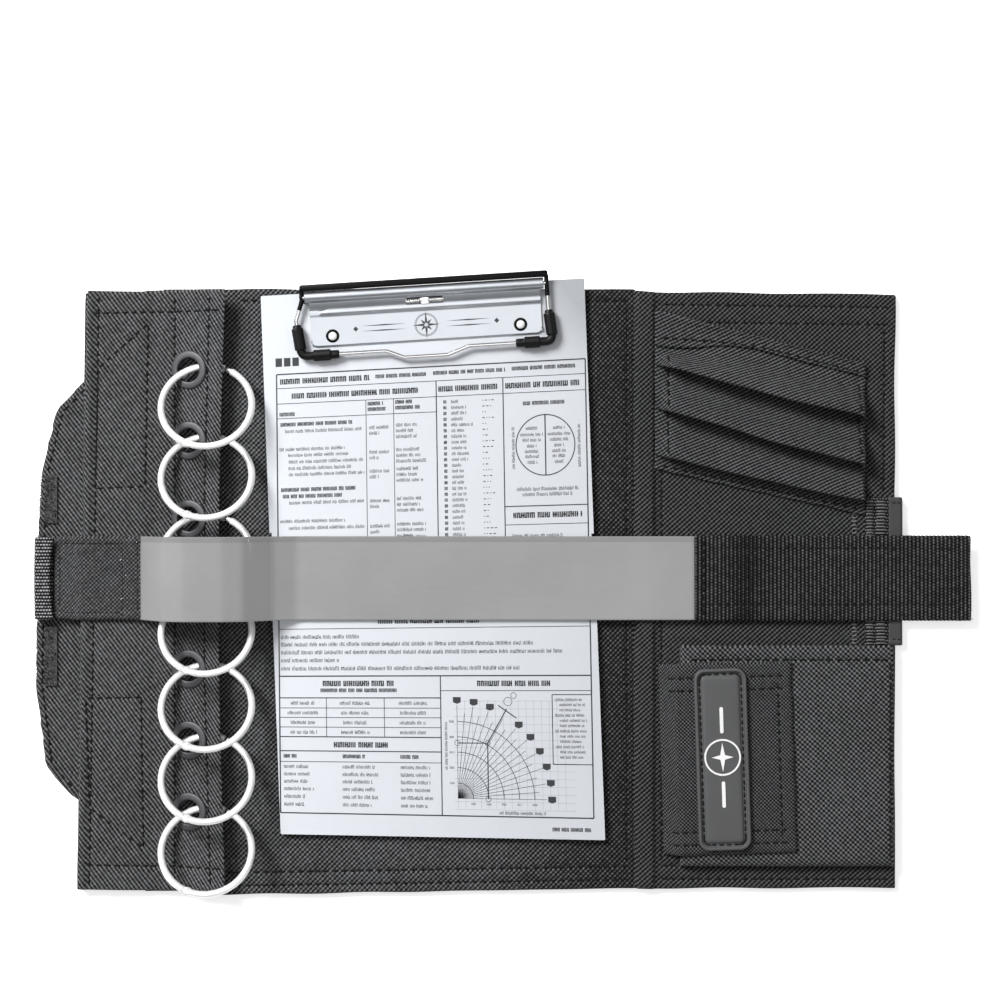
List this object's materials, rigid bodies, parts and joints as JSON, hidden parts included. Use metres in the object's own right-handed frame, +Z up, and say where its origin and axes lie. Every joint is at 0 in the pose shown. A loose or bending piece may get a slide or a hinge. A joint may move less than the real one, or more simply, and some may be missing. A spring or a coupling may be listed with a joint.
{
  "type": "tri-fold pilot kneeboard",
  "caption": "Tri-fold fabric kneeboard with a clipboard plate, wire clip, hinged book rings, pen sleeves, flap pocket and leg strap.",
  "frame": {"origin": "on the resting surface, under the middle of the open board's outline", "axes": "+X towards the pen and pocket panel, along the leg strap; +Y towards the wire clip; +Z up from the resting surface"},
  "size_m": [0.4292, 0.2861, 0.0316],
  "materials": {
    "panel_fabric": "matt woven nylon",
    "left_fabric": "matt woven nylon, a little lighter",
    "stiffener": "pressed board, hidden",
    "hook_and_loop": "hook and loop tape",
    "webbing": "ribbed narrow webbing",
    "frosted_band": "frosted translucent elastic film",
    "printed_plate": "white coated aluminium with black print",
    "clip_chrome": "bright nickel chrome",
    "bail_steel": "bright steel wire",
    "black_lacquer": "gloss black",
    "bail_rubber": "ribbed black rubber",
    "badge_rubber": "satin grey moulded rubber",
    "grommet_metal": "gunmetal",
    "ring_chrome": "bright nickel chrome"
  },
  "bodies": {
    "center_panel": {"center_back_cover": "panel_fabric", "center_board": "stiffener", "center_front_cover": "panel_fabric", "plate_pads": "hook_and_loop", "clipboard_plate": "printed_plate", "clip_body": "clip_chrome", "clip_rivets": "clip_chrome", "clip_spring": "clip_chrome", "ring_flap": "left_fabric", "ring_grommets": "grommet_metal", "grommet_washers": "grommet_metal", "left_spine": "panel_fabric", "right_spine": "panel_fabric", "strap_band": "frosted_band"},
    "left_panel": {"left_back_flap": "panel_fabric", "left_hook_strip": "hook_and_loop", "left_back_cover": "panel_fabric", "left_board": "stiffener", "left_front_cover": "left_fabric", "left_webbing_loop": "webbing", "strap_end": "webbing"},
    "right_panel": {"right_back_cover": "panel_fabric", "right_board": "stiffener", "right_front_cover": "panel_fabric", "pen_sleeve_1": "panel_fabric", "pen_sleeve_2": "panel_fabric", "pen_sleeve_3": "panel_fabric", "pen_sleeve_seams": "panel_fabric", "pocket_front": "panel_fabric", "pocket_gusset": "panel_fabric", "strap_keeper": "webbing", "keeper_tape": "webbing", "tail_loop_pad": "hook_and_loop"},
    "pocket_flap": {"pocket_flap": "panel_fabric", "flap_badge": "badge_rubber"},
    "strap_tail": {"strap_tail": "webbing", "tail_hook_pad": "hook_and_loop"},
    "clip_bail": {"bail_wire": "bail_steel", "bail_pin": "bail_steel", "bail_lever": "black_lacquer", "bail_sleeves": "bail_rubber"},
    "ring_1": {"ring_1": "ring_chrome"},
    "ring_gate_1": {"ring_gate_1": "ring_chrome"},
    "ring_2": {"ring_2": "ring_chrome"},
    "ring_gate_2": {"ring_gate_2": "ring_chrome"},
    "ring_3": {"ring_3": "ring_chrome"},
    "ring_gate_3": {"ring_gate_3": "ring_chrome"},
    "ring_4": {"ring_4": "ring_chrome"},
    "ring_gate_4": {"ring_gate_4": "ring_chrome"},
    "ring_5": {"ring_5": "ring_chrome"},
    "ring_gate_5": {"ring_gate_5": "ring_chrome"},
    "ring_6": {"ring_6": "ring_chrome"},
    "ring_gate_6": {"ring_gate_6": "ring_chrome"},
    "ring_7": {"ring_7": "ring_chrome"},
    "ring_gate_7": {"ring_gate_7": "ring_chrome"}
  },
  "joints": [
    {"name": "left_fold", "type": "hinge", "parent": "center_panel", "child": "left_panel", "pos_m": [-0.159, 0, 0.005], "axis": [0, 1, 0], "range_deg": [-88, 80], "deforming": ["left_spine", "strap_band"]},
    {"name": "right_fold", "type": "hinge", "parent": "center_panel", "child": "right_panel", "pos_m": [0.066, 0, 0.005], "axis": [0, 1, 0], "range_deg": [-130, 88], "deforming": ["right_spine"]},
    {"name": "pocket_flap_lift", "type": "hinge", "parent": "right_panel", "child": "pocket_flap", "pos_m": [0.0752, -0.1242, 0.0052], "axis": [0.0314, -0.9995, 0], "range_deg": [0, 120]},
    {"name": "strap_tail_peel", "type": "hinge", "parent": "right_panel", "child": "strap_tail", "pos_m": [0.0896, 0.00275, 0.0074], "axis": [0, -1, 0], "range_deg": [0, 90]},
    {"name": "bail_lift", "type": "hinge", "parent": "center_panel", "child": "clip_bail", "pos_m": [-0.0355, 0.1346, 0.01045], "axis": [-0.9981, -0.0619, 0], "range_deg": [0, 45], "stiffness_Nm_per_rad": 0.12, "springref_deg": -34.38},
    {"name": "ring_1_swing", "type": "hinge", "parent": "center_panel", "child": "ring_1", "pos_m": [-0.1432, 0.0983, 0.00817], "axis": [-1, 0, 0], "range_deg": [0, 60]},
    {"name": "ring_1_open", "type": "hinge", "parent": "ring_1", "child": "ring_gate_1", "pos_m": [-0.1424, 0.06432, 0.02475], "axis": [0, -0.4384, -0.8988], "range_deg": [0, 35]},
    {"name": "ring_2_swing", "type": "hinge", "parent": "center_panel", "child": "ring_2", "pos_m": [-0.1432, 0.0659, 0.00817], "axis": [-1, 0, 0], "range_deg": [0, 60]},
    {"name": "ring_2_open", "type": "hinge", "parent": "ring_2", "child": "ring_gate_2", "pos_m": [-0.1424, 0.03192, 0.02475], "axis": [0, -0.4384, -0.8988], "range_deg": [0, 35]},
    {"name": "ring_3_swing", "type": "hinge", "parent": "center_panel", "child": "ring_3", "pos_m": [-0.1432, 0.0299, 0.00817], "axis": [-1, 0, 0], "range_deg": [0, 4]},
    {"name": "ring_3_open", "type": "hinge", "parent": "ring_3", "child": "ring_gate_3", "pos_m": [-0.1424, -0.00408, 0.02475], "axis": [0, -0.4384, -0.8988], "range_deg": [0, 5]},
    {"name": "ring_4_swing", "type": "hinge", "parent": "center_panel", "child": "ring_4", "pos_m": [-0.1432, -0.0046, 0.00817], "axis": [-1, 0, 0], "range_deg": [0, 4]},
    {"name": "ring_4_open", "type": "hinge", "parent": "ring_4", "child": "ring_gate_4", "pos_m": [-0.1424, -0.03858, 0.02475], "axis": [0, -0.4384, -0.8988], "range_deg": [0, 5]},
    {"name": "ring_5_swing", "type": "hinge", "parent": "center_panel", "child": "ring_5", "pos_m": [-0.1432, -0.0389, 0.00817], "axis": [-1, 0, 0], "range_deg": [0, 60]},
    {"name": "ring_5_open", "type": "hinge", "parent": "ring_5", "child": "ring_gate_5", "pos_m": [-0.1424, -0.07288, 0.02475], "axis": [0, -0.4384, -0.8988], "range_deg": [0, 35]},
    {"name": "ring_6_swing", "type": "hinge", "parent": "center_panel", "child": "ring_6", "pos_m": [-0.1432, -0.0716, 0.00817], "axis": [-1, 0, 0], "range_deg": [0, 60]},
    {"name": "ring_6_open", "type": "hinge", "parent": "ring_6", "child": "ring_gate_6", "pos_m": [-0.1424, -0.10558, 0.02475], "axis": [0, -0.4384, -0.8988], "range_deg": [0, 35]},
    {"name": "ring_7_swing", "type": "hinge", "parent": "center_panel", "child": "ring_7", "pos_m": [-0.1432, -0.1044, 0.00817], "axis": [-1, 0, 0], "range_deg": [0, 60]},
    {"name": "ring_7_open", "type": "hinge", "parent": "ring_7", "child": "ring_gate_7", "pos_m": [-0.1424, -0.13838, 0.02475], "axis": [0, -0.4384, -0.8988], "range_deg": [0, 35]}
  ]
}
